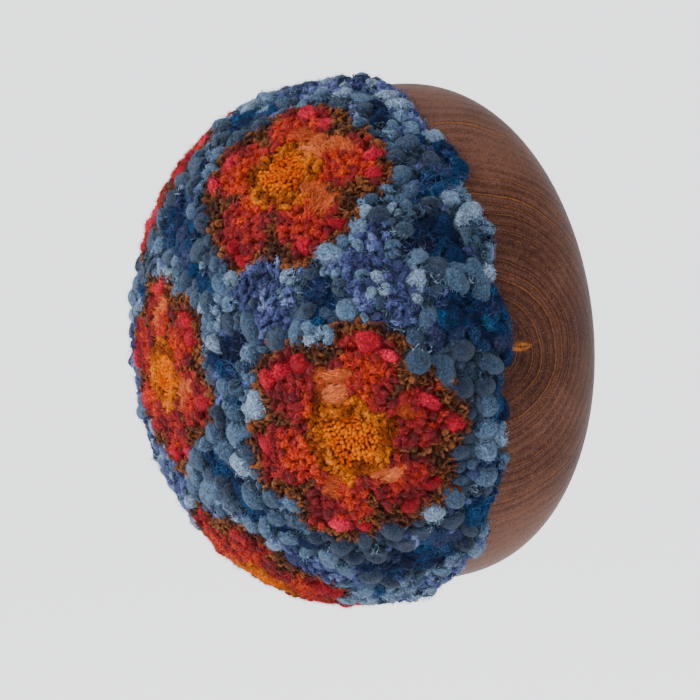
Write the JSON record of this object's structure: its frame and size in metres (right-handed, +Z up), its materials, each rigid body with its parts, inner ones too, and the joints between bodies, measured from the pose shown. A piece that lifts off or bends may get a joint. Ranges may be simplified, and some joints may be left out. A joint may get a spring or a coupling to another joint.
{
  "type": "punch needle wall piece: stuffed looped wool cushion set in a turned wooden bowl",
  "caption": "Domed punch needle cushion of looped and tufted wool, stuffed and set in the mouth of a turned wooden bowl that hangs with its base to the wall.",
  "frame": {"origin": "middle of the bowl's flat base, where it meets the wall", "axes": "+Y into the wall along the bowl's turning axis, -Y out to the room and the cushion's crown, +Z up"},
  "size_m": [0.1594, 0.1182, 0.1601],
  "materials": {
    "oiled_wood": "turned, sanded and oiled to a soft satin",
    "wool_pile": "punched wool loops and felted tufts, matt and slightly hairy"
  },
  "bodies": {
    "root": {"wood_bowl": "oiled_wood", "punched_dome": "wool_pile"}
  },
  "joints": []
}
